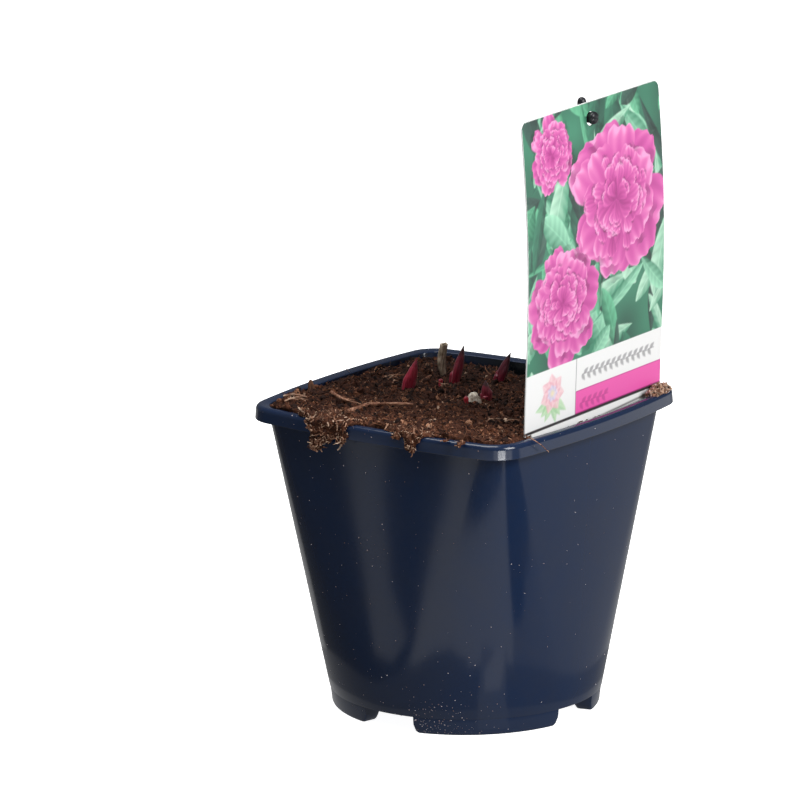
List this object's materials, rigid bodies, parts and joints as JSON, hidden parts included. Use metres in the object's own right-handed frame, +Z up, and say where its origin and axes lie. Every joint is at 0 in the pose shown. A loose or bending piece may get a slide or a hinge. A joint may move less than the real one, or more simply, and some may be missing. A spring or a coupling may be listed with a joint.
{
  "type": "potted chinese peony",
  "caption": "Sprouting herbaceous peony in a glossy dark blue square-to-round nursery pot, with crumbly soil, red shoots and a tall label card on a stake.",
  "frame": {"origin": "centre of the pot's base, on the plane that its four feet stand on", "axes": "+Z up; X and Y along the pot's sides; the label card stands inside the +X wall and faces +X; soil spills over the -Y rim"},
  "size_m": [0.1706, 0.1736, 0.321],
  "materials": {
    "pot_plastic": "glossy injection-moulded polypropylene, dark blue",
    "soil": "moist fibrous peat and coir mix",
    "root": "pale brown fleshy crown and storage roots",
    "shoot": "waxy crimson to maroon bud scales",
    "bud": "bright red eye bud",
    "dry_stem": "dry beige-grey stalk",
    "wood_bits": "torn bark and stalk fibres",
    "label_card": "printed white polypropylene sheet, satin",
    "label_stake": "black moulded polypropylene"
  },
  "bodies": {
    "root": {"pot": "pot_plastic", "soil": "soil", "soil_corner_crumbs": "soil", "rootstock": "root", "shoot_1": "shoot", "shoot_2": "shoot", "shoot_3": "shoot", "shoot_4": "shoot", "bud_1": "bud", "bud_2": "bud", "old_stem": "dry_stem", "twig_1": "wood_bits", "twig_2": "wood_bits", "twig_3": "wood_bits", "bark_chip": "wood_bits", "label_card": "label_card", "label_stake": "label_stake"}
  },
  "joints": []
}
